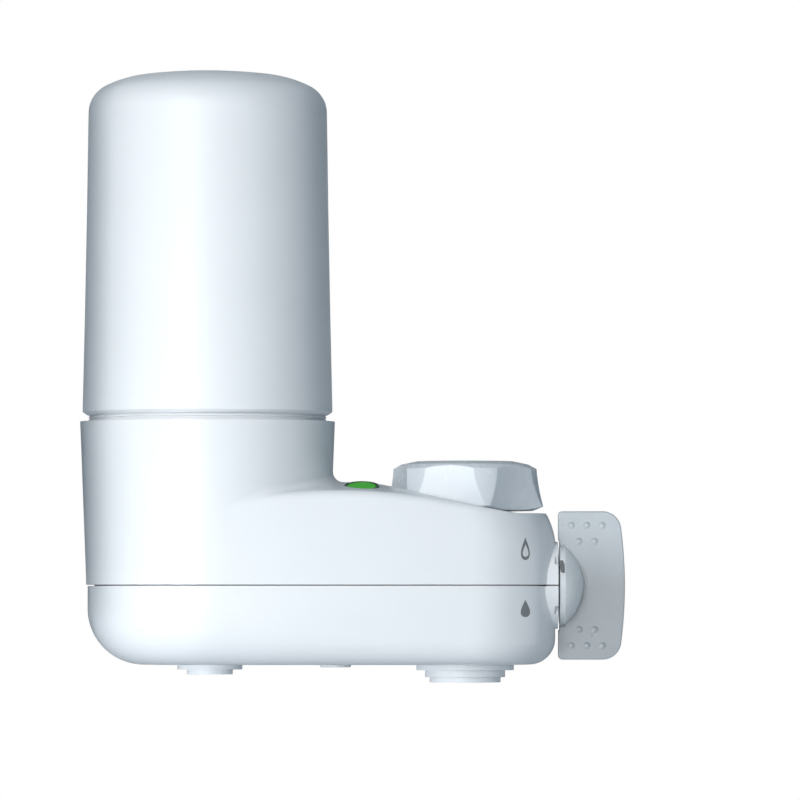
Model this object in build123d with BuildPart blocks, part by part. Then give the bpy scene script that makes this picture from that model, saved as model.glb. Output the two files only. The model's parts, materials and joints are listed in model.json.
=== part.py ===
from build123d import *
import os
from math import asin, atan, cos, degrees, radians, sin, sqrt

# A faucet mount water filter: an upright cartridge in a round cup, an arm to the swivel
# collar nut, a selector on the arm's end and two outlets underneath.
# Millimetres. The origin is the mouth of the nut's thread, on the nut's axis. +X runs along the arm
# from the cup to the selector, the front faces -Y and +Z is up.

# Whole body
cup_x = -74.0              # axis of the cup and its cartridge
wall = 2.2                 # wall of the two housings
seam_z = -35.6             # where the two housings meet, and the selector's axis
seam_gap = 0.35            # shadow gap between the two housings
seam_step = 0.4            # the lower housing stands this much inside the upper one
skin_gap = 0.3             # clearance between neighbouring pieces that don't touch
fit_gap = 0.05             # clearance of a turning or pushed fit

# Cup
cup_rim_z = 11.4
cup_rim_radius = 36.6
cup_taper = 1.8            # how much less the cup's radius is at the seam
cup_lip = 2.1              # thickness of the cup's wall
cup_blend = 3.0            # radius where the cup's wall meets the arm
ledge_width = 2.2          # ring that carries the port plate
ledge_height = 2.0

# Arm
end_radius = 26.3          # plan radius of the arm's end, round the nut's axis
end_barrel = 26.0          # radius of the end's barrel curve, seen from the front
end_barrel_z = -27.0       # where that barrel curve starts
end_share = 0.85           # share of the barrel curve that moves the end's centre back
arm_root_inset = 0.02      # the arm's walls start this far inside the cup's face
arm_crown = 150.0          # radius of the top's crown, across the arm
arm_edge_radius = 2.4      # soft edge round the arm's top
crest_root_dx = 2.0        # from the cup's axis to the first points of the arm's crest
crest_top_dx = 38.0
crest_root = (cup_x + crest_root_dx, -8.6)   # points of the crest, seen from the front
crest_top = (cup_x + crest_top_dx, -5.9)
crest_fall = (-12.0, -8.1)
crest_low = (6.0, -11.5)
crest_end = (34.0, -16.0)
arm_steps = 9              # sections through the arm's height

# Lower housing
bottom_z = -58.3
cup_corner_radius = 16.1   # bottom corner under the cup
end_corner_radius = 7.5    # bottom corner under the selector
tongue_width = 1.2         # lip that keeps the two housings in line
tongue_height = 2.4
tongue_root = 2.0
lip_gap = 0.15
tub_steps = 12             # sections through the rounded bottom

# Collar nut, with the common 15/16 inch fine thread
thread_radius = 11.4       # minor radius of the thread
thread_length = 9.0
nut_height = 14.2
nut_top_radius = 20.6      # of the corners, at the top
nut_bottom_radius = 22.9   # of the corners, at the bottom
nut_waist_radius = 21.3    # of the corners, at the waist of the flare
nut_side_top = 19.1        # from the axis to the middle of a side, at the top
nut_side_foot = 19.7       # and at the bottom
nut_side_hollow = 95.0     # radius of each side's hollow
nut_waist_z = -7.4
nut_face_radius = 14.0     # flat ring round the thread's mouth
nut_brow_radius = 18.2     # the top slopes gently out to here
nut_brow = 0.9
nut_bevel = 2.2            # fall of the top at its corners
nut_foot = 1.2             # rise of the bottom bevel
nut_foot_radius = 19.5
nut_turn = -74.0           # direction of one corner, in degrees
nut_relief_radius = 11.8
nut_shelf_z = -12.2        # shelf inside the nut that lifts the spigot's flange
well_gap = 1.2             # from the nut's corners to the well round it
well_floor_z = -15.0

# Inlet spigot, washer and screen
spigot_radius = 9.0
spigot_flange_radius = 11.5
spigot_flange_height = 1.25
spigot_tail_radius = 8.6
spigot_bore = 5.5
spigot_end_z = -27.0
washer_bore = 7.0
washer_height = 1.7
screen_thickness = 0.5
screen_radius = 8.0
screen_hole = 0.6
screen_rows = 5
inlet_pitch = 1.6
seal_section = 0.85        # section radius of every seal ring

# Valve
valve_bore = 7.0
valve_radius = 11.0
valve_left_x = -20.0
valve_chamber_x = -16.0
valve_right_x = 21.0
port_radius = 3.4
spool_left_x = -13.9
spindle_radius = 5.0
valve_cap_thickness = 2.2
spool_port = 3.0
spool_groove_depth = 2.2
spool_groove_width = 5.0
spool_seal_places = [-9.0, 9.0, 14.0]

# Selector
boss_radius = 12.5
boss_face_x = 26.6
boss_root_x = 12.0
boss_notch = 1.4
boss_notch_angle = 35.0
hub_radius = 11.4
hub_rim = 1.6
hub_top_x = 34.2
hub_dome_radius = 15.5
hub_gap = 0.4              # from the boss to the turning hub
wing_tip_x = 45.9
wing_tip_bulge = 1.8
wing_span = 42.6
wing_thickness = 3.0
wing_inner_x = 26.7
wing_outer_corner = 5.4
wing_inner_corner = 1.2
wing_edge = 0.5
dimple_x = 30.5            # first dimple of the outer row
dimple_radius = 1.0
dimple_height = 0.45
dimple_pitch = 4.45        # across the wing, between neighbouring rows of dimples
dimple_row_z = 17.25       # outer row, from the selector's axis
dimple_inner_z = 12.65
pointer_angle = 29.0
pointer_width = 1.8
pointer_depth = 0.5

# Outlets
filtered_dx = 0.7          # from the cup's axis
filtered_x = cup_x + filtered_dx
filtered_flange = 9.35
filtered_flange_height = 1.4
filtered_radius = 6.6
filtered_tip_z = -61.1
filtered_neck = 5.6
filtered_bore = 4.4
stream_flange = 14.0
stream_flange_height = 1.6
stream_radius = 11.5
stream_collar_z = -61.9
stream_tip_radius = 10.2
stream_tip_z = -63.4
stream_neck = 8.0
stream_bore = 6.0
neck_top_z = -50.0
spray_thickness = 1.4
spray_hole = 0.55
spray_margin = 1.1         # from the spray plate to the outlet's rim
spray_ring_radii = [2.2, 4.6, 6.9]
spray_ring_holes = [6, 12, 20]
filtered_screen_radius = 5.3
screen_pitch = 1.9
outlet_rows = 3
plug_dx = 36.8             # from the cup's axis
plug_x = cup_x + plug_dx
plug_radius = 4.45
plug_proud = 0.8
plug_stem = 3.2
plug_stem_height = 1.6

# Housing screws
screw_head = 3.1
screw_head_height = 2.0
screw_shank = 1.35
screw_length = 14.0
screw_head_z = -54.0
drive_width = 0.6
drive_depth = 1.0
screw_pilot = 1.4
pilot_spare = 1.0
boss_outer = 3.6
boss_meet_z = -44.0
side_screw_x = -14.0
side_screw_y = 15.3

# Cartridge
base_bottom_z = -18.4
base_gap = 0.4             # round the cartridge, inside the cup
base_wall = 2.4
base_floor = 3.0
base_rim_gap = 0.15
base_rim_z = 18.0          # the base's rim, up inside the shell
base_neck_z = 13.3
neck_line_depth = 0.3
neck_line_width = 0.35
neck_lines = [12.0, 12.8]
shell_lip_step = 0.7       # the shell's lip stands this much inside the cup's rim
shell_lip_z = 14.2
shell_bevel = 1.3
shell_mid_z = 48.0
shell_mid_taper = 0.75     # how much less the shell's radius is halfway up
shell_top_taper = 1.6      # and at the corner of its top
dome_top_z = 112.2
dome_shoulder = 32.5
dome_corner = 8.5
dome_crown_angle = 6.9
dome_shoulder_angle = 26.6
shell_wall = 2.4
block_room = 5.0           # from the block to the base's wall
block_bore = 8.0
block_bottom_z = -8.0
block_top_z = 92.0
block_cap = 3.0
block_cap_lip = 5.0
cap_lip_wall = 0.9
cap_spigot = 7.5
socket_wall = 2.4
socket_height = 3.2
wrap_thickness = 1.6

# Port plate and the cartridge's stubs
plate_top_z = -18.7
plate_bottom_z = -22.0
stub_radius = 8.0
stub_tip_z = -34.0
stub_bore = 4.5
stub_groove = 6.2          # radius of the groove that the catch plate holds
stub_wall = 1.6            # wall of its end in the base's floor
inlet_dx = 22.0            # inlet stub, from the cup's axis
inlet_y = 7.6
inlet_stub_radius = 5.0
inlet_stub_tip_z = -23.0
inlet_bore = 2.4
feed_radius = 3.6
feed_bend = 9.0
feed_top_z = -23.8
feed_boss = 6.4
feed_boss_z = -26.5
outlet_radius = 11.0
outlet_top_z = -28.2
outlet_seat_z = -36.0

# Release button and its catch plate
button_width = 20.0
button_height = 8.2
button_top_z = -25.2
button_depth = 7.2         # how far its back lies inside the cup's wall
button_proud = 2.1         # how far the button stands out of the cup's wall
button_travel = 2.0
button_edge = 0.8
button_flange = 2.5        # how far its hidden flange is wider than its face
button_flange_rise = 0.8   # flange's underside above the face's
window_gap = 0.4
catch_thickness = 2.0
catch_top_z = -25.0
catch_width = 22.0
catch_front_y = -13.0
catch_corner = 3.0
catch_gap = 0.6            # from the catch plate's hole to the stub
spring_radius = 2.2
spring_wire = 0.35
spring_turns = 5
spring_length = 7.6
spring_rib = 2.0
spring_rib_width = 9.0
spring_rib_z = -29.5

# Indicator
lens_dx = 44.4             # from the cup's axis
lens_x = cup_x + lens_dx
lens_y = -19.0
lens_z = -7.25
lens_tilt = 16.0           # towards the front, in degrees
bezel_radius = 5.0
bezel_height = 5.0
lens_radius = 4.2
lens_thickness = 1.2
lens_edge = 0.4
lens_seat = 0.8
board_length = 12.0
board_width = 9.0
board_thickness = 1.0
lamp_radius = 1.5
lamp_height = 2.5
cell_radius = 4.8
cell_thickness = 2.5


cup_axis = Axis((cup_x, 0, 0), (0, 0, 1))
nut_axis = Axis((0, 0, 0), (0, 0, 1))
selector_axis = Axis((0, 0, seam_z), (1, 0, 0))
cup_seam_radius = cup_rim_radius - cup_taper
ledge_z = plate_bottom_z - ledge_height
floor_z = bottom_z + wall                      # inside floor of the lower housing
well_radius = nut_bottom_radius + well_gap
well_under_z = well_floor_z - wall
crown_axis_z = crest_top[1] - arm_crown        # the arm's top is turned about this line
hub_left_x = boss_face_x + hub_gap
dome_left_x = hub_left_x + hub_rim
reach = 60.0                                   # cutting bodies run this far past the part


def cup_radius(z):
    """Radius of the cup's outside, which narrows evenly from its rim to the seam."""
    return cup_seam_radius + (cup_rim_radius - cup_seam_radius) * (z - seam_z) / (cup_rim_z - seam_z)


def bore_radius(z):
    """Radius of the cup's bore, which keeps the cup's wall even."""
    return cup_radius(z) - cup_lip


def circle_drop(radius, distance):
    """How far an arc of this radius falls away at a distance from its crown."""
    return radius - sqrt(radius ** 2 - distance ** 2)


def tangent_points(big, small, end_x):
    """Where a straight wall touches the big circle and the small one, on the front side."""
    lean = asin((big - small) / (end_x - cup_x))
    big_point = (cup_x + big * sin(lean), -big * cos(lean))
    small_point = (end_x + small * sin(lean), -small * cos(lean))
    return big_point, small_point


def behind(point):
    """The same point on the back side."""
    return (point[0], -point[1])


def end_outline(big, small, end_x=0.0):
    """The plan's two straight walls and the small round end between them."""
    big_point, small_point = tangent_points(big, small, end_x)
    Line(big_point, small_point)
    ThreePointArc(small_point, (end_x + small, 0), behind(small_point))
    Line(behind(small_point), behind(big_point))
    return big_point


def arm_outline(big, small, end_x):
    """Plan of the arm alone, whose walls start where they touch the cup's circle."""
    big_point = end_outline(big, small, end_x)
    Line(behind(big_point), big_point)


def body_outline(big, small):
    """Plan of the whole body: a big round end, a small one and the walls that touch both."""
    big_point = end_outline(big, small)
    ThreePointArc(behind(big_point), (cup_x - big, 0), big_point)


def lathe(points, axis, mode=Mode.ADD):
    """Turn a closed outline of (x, z) points about an axis."""
    with BuildSketch(Plane.XZ) as outline:
        with BuildLine():
            Polyline(*points, close=True)
        make_face()
    revolve(outline.sketch, axis=axis, mode=mode)


def tube_points(x, inner, outer, low, high):
    """Outline of an upright tube, to turn about the upright line at x."""
    return [(x + inner, low), (x + outer, low), (x + outer, high), (x + inner, high)]


def shaft_points(inner, outer, left, right):
    """Outline of a level tube on the selector's axis."""
    return [
        (left, seam_z + inner),
        (right, seam_z + inner),
        (right, seam_z + outer),
        (left, seam_z + outer),
    ]


def upright(x, y, radius, low, high, mode=Mode.ADD):
    """An upright round bar or hole."""
    with BuildSketch(Plane.XY.offset(low)) as end:
        with Locations((x, y)):
            Circle(radius)
    extrude(end.sketch, amount=high - low, mode=mode)


def level_bar(radius, left, right, y=0.0, z=seam_z, mode=Mode.ADD):
    """A round bar or hole along X."""
    with BuildSketch(Plane.YZ.offset(left)) as end:
        with Locations((y, z)):
            Circle(radius)
    extrude(end.sketch, amount=right - left, mode=mode)


def seal_ring(x, radius, z, axis):
    """A round-section seal, turned about an axis at this distance."""
    with BuildSketch(Plane.XZ) as section:
        with Locations((x + radius, z)):
            Circle(seal_section)
    revolve(section.sketch, axis=axis)


def trim_at_seam(height, depth):
    """Cut away everything past the seam, downwards for a negative depth."""
    with BuildSketch(Plane.XY.offset(height)) as field:
        Rectangle(4 * reach, 2 * reach)
    extrude(field.sketch, amount=depth, mode=Mode.SUBTRACT)


def notch_boss(side):
    """The small mark notched into the boss's rim, above (1) or below (-1) the seam, and its bore."""
    turn = radians(boss_notch_angle)
    level_bar(
        boss_notch,
        end_radius - boss_notch / 2,
        boss_face_x,
        y=-boss_radius * cos(turn),
        z=seam_z + side * boss_radius * sin(turn),
        mode=Mode.SUBTRACT,
    )
    level_bar(spindle_radius + skin_gap, boss_root_x, boss_face_x, mode=Mode.SUBTRACT)


def keep_part(piece, name):
    """Name a finished piece and write it."""
    piece.label = name
    export_step(piece, f"parts/{name}.step")


os.makedirs("parts", exist_ok=True)


# The two housings share these bodies


def arm_end_shift(z):
    """How far the arm's end draws back above the start of its barrel curve."""
    return circle_drop(end_barrel, max(0.0, z - end_barrel_z))


def arm_body(inset):
    """The arm before its top is shaped, all round this much inside its outer face."""
    top_z = crest_top[1] + arm_edge_radius
    levels = [seam_z + (top_z - seam_z) * step / arm_steps for step in range(arm_steps + 1)]
    with BuildPart() as arm:
        for level in levels:
            shift = arm_end_shift(level)
            with BuildSketch(Plane.XY.offset(level)):
                with BuildLine():
                    arm_outline(
                        cup_radius(level) - arm_root_inset - inset,
                        end_radius - shift * (1 - end_share) - inset,
                        -shift * end_share,
                    )
                make_face()
        loft()
    return arm.part


def arm_top(inset):
    """Everything under the arm's crowned, falling top, this much lower than the top itself."""
    crest = [crest_root, crest_top, crest_fall, crest_low, crest_end]
    lowered = [(x, z - inset) for x, z in crest]
    with BuildPart() as barrel:
        with BuildSketch(Plane.XZ):
            with BuildLine():
                Spline(*lowered)
                Polyline(
                    lowered[-1], (crest_end[0], crown_axis_z), (crest_root[0], crown_axis_z), lowered[0]
                )
            make_face()
        revolve(axis=Axis((0, 0, crown_axis_z), (1, 0, 0)))
    return barrel.part


def arm_cavity():
    """The hollow inside the arm, clear of the cup's wall and of the well's wall and floor."""
    with BuildPart() as cavity:
        add(arm_body(wall))
        add(arm_top(wall), mode=Mode.INTERSECT)
        upright(0, 0, well_radius + wall, well_under_z, 0, mode=Mode.SUBTRACT)
        lathe(
            [
                (cup_x, ledge_z),
                (cup_x + cup_radius(ledge_z), ledge_z),
                (cup_x + cup_radius(0), 0),
                (cup_x, 0),
            ],
            cup_axis,
            mode=Mode.SUBTRACT,
        )
    return cavity.part


def tilted_lens_plane(depth=0.0):
    """Plane of the indicator's face, leaning to the front, this far under its rim."""
    lean = radians(lens_tilt)
    face = Plane(origin=(lens_x, lens_y, lens_z), x_dir=(1, 0, 0), z_dir=(0, -sin(lean), cos(lean)))
    return face.offset(-depth)


def tilted_bar(radius, top, bottom, mode=Mode.ADD):
    """A round bar or hole under the indicator's face, between two depths."""
    with BuildSketch(tilted_lens_plane(bottom)) as end:
        Circle(radius)
    extrude(end.sketch, amount=bottom - top, mode=mode)


screw_places = [(plug_x, 0), (side_screw_x, side_screw_y), (side_screw_x, -side_screw_y)]

with BuildPart() as lens_hole_tool:
    tilted_bar(bezel_radius + fit_gap, -bezel_height, bezel_height)
lens_hole = lens_hole_tool.part

with BuildPart() as button_window_tool:
    with BuildSketch(Plane.XZ.offset(-cup_seam_radius)):
        with Locations((cup_x, button_top_z - button_height / 2)):
            Rectangle(button_width + 2 * window_gap, button_height + 2 * window_gap)
    extrude(amount=cup_lip * 3, both=True)
button_window = button_window_tool.part

# Upper housing: the cup, the arm and the well round the nut, in one moulding
arm_hollow = arm_cavity()
with BuildPart() as upper_housing:
    add(arm_body(0))
    add(arm_top(0), mode=Mode.INTERSECT)
    arm_face = faces().sort_by(Axis.Z)[-1]
    fillet([edge for edge in arm_face.edges() if edge.bounding_box().max.X > cup_x / 2], arm_edge_radius)
    lathe(
        [
            (cup_x, seam_z),
            (cup_x + cup_seam_radius, seam_z),
            (cup_x + cup_rim_radius, cup_rim_z),
            (cup_x, cup_rim_z),
        ],
        cup_axis,
    )
    junction = [
        edge
        for edge in edges()
        if seam_z / 2 < edge.bounding_box().min.Z
        and edge.bounding_box().max.Z < 0
        and edge.bounding_box().max.X < cup_x / 2
        and edge.length > cup_blend
    ]
    fillet(junction, cup_blend)
    level_bar(boss_radius, boss_root_x, boss_face_x)
    trim_at_seam(seam_z + seam_gap / 2, -reach)
    notch_boss(1)
    upright(0, 0, well_radius, well_floor_z, reach, mode=Mode.SUBTRACT)
    add(arm_hollow, mode=Mode.SUBTRACT)
    lathe(
        [
            (cup_x, seam_z),
            (cup_x + cup_radius(seam_z) - wall, seam_z),
            (cup_x + cup_radius(ledge_z) - wall, ledge_z),
            (cup_x, ledge_z),
        ],
        cup_axis,
        mode=Mode.SUBTRACT,
    )
    ledge_bore = bore_radius(plate_bottom_z) - ledge_width
    upright(cup_x, 0, ledge_bore, ledge_z, plate_bottom_z, mode=Mode.SUBTRACT)
    for x, y in screw_places:
        boss_top = crest_top[1] - wall if y == 0 else well_floor_z - wall / 2
        upright(x, y, boss_outer, boss_meet_z, boss_top)
        pilot_end_z = screw_head_z + screw_length + pilot_spare
        upright(x, y, screw_pilot, boss_meet_z, pilot_end_z, mode=Mode.SUBTRACT)
    lathe(
        [
            (cup_x, plate_bottom_z),
            (cup_x + bore_radius(plate_bottom_z), plate_bottom_z),
            (cup_x + bore_radius(cup_rim_z), cup_rim_z),
            (cup_x, cup_rim_z),
        ],
        cup_axis,
        mode=Mode.SUBTRACT,
    )
    upright(0, 0, spigot_radius + fit_gap, well_under_z, well_floor_z, mode=Mode.SUBTRACT)
    add(lens_hole, mode=Mode.SUBTRACT)
    add(button_window, mode=Mode.SUBTRACT)
keep_part(upper_housing.part, "upper_housing")


# Lower housing: a tub with a big round corner under the cup and a small one under the selector


def tub(inset):
    """The tub's outer body, all round this much inside its outer face."""
    big_corner = cup_corner_radius - inset
    small_corner = end_corner_radius - inset
    big_centre_z = bottom_z + cup_corner_radius
    small_centre_z = bottom_z + end_corner_radius
    big = cup_seam_radius - seam_step - inset
    small = end_radius - seam_step - inset
    with BuildPart() as body:
        with BuildSketch(Plane.XY.offset(big_centre_z)):
            with BuildLine():
                body_outline(big, small)
            make_face()
        extrude(amount=seam_z - big_centre_z)
        for step in range(tub_steps + 1):
            level = big_centre_z - big_corner * sin(radians(90 * step / tub_steps))
            big_drop = circle_drop(big_corner, big_centre_z - level)
            small_drop = circle_drop(small_corner, min(small_corner, max(0.0, small_centre_z - level)))
            with BuildSketch(Plane.XY.offset(level)):
                with BuildLine():
                    body_outline(big - big_drop, small - small_drop)
                make_face()
        loft()
    return body.part


def tub_lip():
    """The lip inside the seam, which keeps the two housings in line."""
    outer = wall + lip_gap
    with BuildPart() as lip:
        for inset, mode in [(outer, Mode.ADD), (outer + tongue_width, Mode.SUBTRACT)]:
            with BuildSketch(Plane.XY.offset(seam_z - tongue_root)):
                with BuildLine():
                    body_outline(cup_seam_radius - inset, end_radius - inset)
                make_face()
            extrude(amount=tongue_root + tongue_height, mode=mode)
        level_bar(valve_radius + skin_gap, 0, reach, mode=Mode.SUBTRACT)
        add(button_window, mode=Mode.SUBTRACT)
    return lip.part


with BuildPart() as lower_housing:
    add(tub(0))
    level_bar(boss_radius, boss_root_x, boss_face_x)
    trim_at_seam(seam_z - seam_gap / 2, reach)
    notch_boss(-1)
    add(tub(wall), mode=Mode.SUBTRACT)
    add(tub_lip())
    for x, y in screw_places:
        upright(x, y, boss_outer, floor_z - wall / 2, boss_meet_z)
        upright(x, y, screw_head + fit_gap, bottom_z, screw_head_z, mode=Mode.SUBTRACT)
        upright(x, y, screw_shank + skin_gap, screw_head_z, boss_meet_z, mode=Mode.SUBTRACT)
    upright(filtered_x, 0, filtered_neck + fit_gap, bottom_z, floor_z, mode=Mode.SUBTRACT)
    upright(0, 0, stream_neck + fit_gap, bottom_z, floor_z, mode=Mode.SUBTRACT)
keep_part(lower_housing.part, "lower_housing")

# Screw plug over the middle screw
with BuildPart() as screw_plug:
    upright(plug_x, 0, plug_radius, bottom_z - plug_proud, bottom_z)
    fillet(edges().group_by(Axis.Z)[0], plug_proud / 2)
    upright(plug_x, 0, plug_stem - 2 * fit_gap, bottom_z, bottom_z + plug_stem_height)
keep_part(screw_plug.part, "screw_plug")

# Housing screws, three alike
with BuildPart() as housing_screws:
    for x, y in screw_places:
        upright(x, y, screw_head, screw_head_z - screw_head_height, screw_head_z)
        upright(x, y, screw_shank, screw_head_z, screw_head_z + screw_length)
        with BuildSketch(Plane.XY.offset(screw_head_z - screw_head_height)) as drive:
            with Locations((x, y)):
                Rectangle(screw_head, drive_width)
                Rectangle(drive_width, screw_head)
        extrude(drive.sketch, amount=drive_depth, mode=Mode.SUBTRACT)
keep_part(housing_screws.part, "housing_screws")

# Collar nut: a turned, flared ring with six leaning, slightly hollow sides and the thread's bore
nut_side_middle = (nut_side_top + nut_side_foot) / 2
nut_side_lean = degrees(atan((nut_side_foot - nut_side_top) / nut_height))
with BuildPart() as collar_nut:
    with BuildSketch(Plane.XZ):
        with BuildLine():
            top_corner = (nut_top_radius, -nut_bevel)
            foot_corner = (nut_bottom_radius, -nut_height + nut_foot)
            Polyline((0, 0), (nut_face_radius, 0), (nut_brow_radius, -nut_brow), top_corner)
            ThreePointArc(top_corner, (nut_waist_radius, nut_waist_z), foot_corner)
            Polyline(foot_corner, (nut_foot_radius, -nut_height), (0, -nut_height), (0, 0))
        make_face()
    revolve(axis=nut_axis)
    with Locations((0, 0, -nut_height / 2)):
        with PolarLocations(nut_side_middle + nut_side_hollow, 6, start_angle=nut_turn + 30):
            Cylinder(nut_side_hollow, 3 * nut_height, rotation=(0, -nut_side_lean, 0), mode=Mode.SUBTRACT)
    upright(0, 0, thread_radius, -thread_length, 0, mode=Mode.SUBTRACT)
    upright(0, 0, nut_relief_radius, nut_shelf_z, -thread_length, mode=Mode.SUBTRACT)
    upright(0, 0, spigot_radius + fit_gap, -nut_height, nut_shelf_z, mode=Mode.SUBTRACT)
keep_part(collar_nut.part, "collar_nut")

# Inlet spigot: the flange that the nut lifts, the neck it turns on and the tail in the valve
spigot_flange_z = nut_shelf_z + fit_gap
flange_top_z = spigot_flange_z + spigot_flange_height
seal_groove = seal_section + fit_gap
with BuildPart() as inlet_spigot:
    lathe(
        [
            (spigot_bore, spigot_end_z),
            (spigot_tail_radius, spigot_end_z),
            (spigot_tail_radius, well_under_z),
            (spigot_radius, well_under_z),
            (spigot_radius, spigot_flange_z),
            (spigot_flange_radius, spigot_flange_z),
            (spigot_flange_radius, flange_top_z),
            (screen_radius + fit_gap, flange_top_z),
            (screen_radius + fit_gap, flange_top_z - screen_thickness),
            (spigot_bore, flange_top_z - screen_thickness),
        ],
        nut_axis,
    )
    spigot_seal_z = (spigot_end_z + well_under_z) / 2
    groove_foot = spigot_tail_radius - 2 * seal_section
    lathe(
        tube_points(
            0, groove_foot, spigot_tail_radius, spigot_seal_z - seal_groove, spigot_seal_z + seal_groove
        ),
        nut_axis,
        mode=Mode.SUBTRACT,
    )
keep_part(inlet_spigot.part, "inlet_spigot")

with BuildPart() as spigot_seal:
    seal_ring(0, spigot_tail_radius - seal_section, spigot_seal_z, nut_axis)
keep_part(spigot_seal.part, "spigot_seal")

# Screen and washer on the spigot's flange
with BuildPart() as inlet_screen:
    upright(0, 0, screen_radius, flange_top_z - screen_thickness, flange_top_z)
    with BuildSketch(Plane.XY.offset(flange_top_z)):
        with HexLocations(inlet_pitch, screen_rows, screen_rows):
            Circle(screen_hole)
    extrude(amount=-screen_thickness, mode=Mode.SUBTRACT)
keep_part(inlet_screen.part, "inlet_screen")

with BuildPart() as collar_washer:
    lathe(
        tube_points(0, washer_bore, spigot_flange_radius, flange_top_z, flange_top_z + washer_height),
        nut_axis,
    )
keep_part(collar_washer.part, "collar_washer")


# Valve body: the level barrel, the socket that takes the spigot and the stem that carries the outlet
outlet_top = neck_top_z + fit_gap
with BuildPart() as valve_body:
    level_bar(valve_radius, valve_left_x, valve_right_x)
    upright(0, 0, valve_radius, floor_z, well_under_z)
    level_bar(valve_bore, valve_chamber_x, valve_right_x, mode=Mode.SUBTRACT)
    level_bar(inlet_bore, valve_left_x, valve_chamber_x, y=inlet_y, mode=Mode.SUBTRACT)
    upright(0, 0, spigot_tail_radius + fit_gap, spigot_end_z, well_under_z, mode=Mode.SUBTRACT)
    upright(0, 0, port_radius, outlet_top, spigot_end_z, mode=Mode.SUBTRACT)
    upright(0, 0, stream_neck + fit_gap, floor_z, outlet_top, mode=Mode.SUBTRACT)
keep_part(valve_body.part, "valve_body")

# Valve spool and its seals, turned by the selector
spool_radius = valve_bore - fit_gap
cap_left_x = valve_right_x - valve_cap_thickness
spool_right_x = cap_left_x - fit_gap
with BuildPart() as valve_spool:
    level_bar(spool_radius, spool_left_x, spool_right_x)
    level_bar(spindle_radius, spool_right_x, dome_left_x)
    level_bar(spool_port, spool_left_x, spool_port, mode=Mode.SUBTRACT)
    upright(0, 0, spool_port, seam_z, seam_z + valve_bore, mode=Mode.SUBTRACT)
    for place in spool_seal_places:
        lathe(
            shaft_points(
                spool_radius - 2 * seal_section, spool_radius, place - seal_groove, place + seal_groove
            ),
            selector_axis,
            mode=Mode.SUBTRACT,
        )
    with BuildSketch(Plane.YZ.offset(-spool_groove_width / 2)) as bypass:
        with Locations((0, seam_z)):
            Circle(valve_bore)
            Circle(spool_radius - spool_groove_depth, mode=Mode.SUBTRACT)
        with Locations((-valve_bore, seam_z + valve_bore)):
            Rectangle(2 * valve_bore, 2 * valve_bore, mode=Mode.SUBTRACT)
        with Locations((0, seam_z + valve_bore)):
            Rectangle(2 * valve_bore, valve_bore, mode=Mode.SUBTRACT)
    extrude(bypass.sketch, amount=spool_groove_width, mode=Mode.SUBTRACT)
keep_part(valve_spool.part, "valve_spool")

with BuildPart() as spool_seals:
    for place in spool_seal_places:
        with BuildSketch(Plane.XZ) as section:
            with Locations((place, seam_z + spool_radius - seal_section)):
                Circle(seal_section)
        revolve(section.sketch, axis=selector_axis)
keep_part(spool_seals.part, "spool_seals")

# Cap that holds the spool in the barrel
with BuildPart() as valve_cap:
    lathe(
        shaft_points(spindle_radius + fit_gap, valve_bore - fit_gap, cap_left_x, valve_right_x),
        selector_axis,
    )
keep_part(valve_cap.part, "valve_cap")

# Selector hub: a disc and its dome, slotted for the wing, bored for the spindle
with BuildPart() as selector_hub:
    with BuildSketch(Plane.XZ):
        with BuildLine():
            rim_top = (dome_left_x, seam_z + hub_radius)
            Polyline((hub_top_x, seam_z), (hub_left_x, seam_z), (hub_left_x, seam_z + hub_radius), rim_top)
            RadiusArc(rim_top, (hub_top_x, seam_z), hub_dome_radius)
        make_face()
    revolve(axis=selector_axis)
    level_bar(spindle_radius, hub_left_x, dome_left_x, mode=Mode.SUBTRACT)
    with BuildSketch(Plane.XZ.offset(-wing_thickness / 2 - fit_gap)):
        with Locations((dome_left_x + hub_radius, seam_z)):
            Rectangle(2 * hub_radius, 4 * hub_radius)
    extrude(amount=wing_thickness + 2 * fit_gap, mode=Mode.SUBTRACT)
    turn = radians(pointer_angle)
    with BuildSketch(Plane.YZ.offset(hub_left_x)):
        with Locations(
            Location((-hub_radius * cos(turn), seam_z + hub_radius * sin(turn)), -pointer_angle)
        ):
            Rectangle(2 * pointer_depth, pointer_width)
    extrude(amount=hub_rim, mode=Mode.SUBTRACT)
keep_part(selector_hub.part, "selector_hub")

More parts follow.
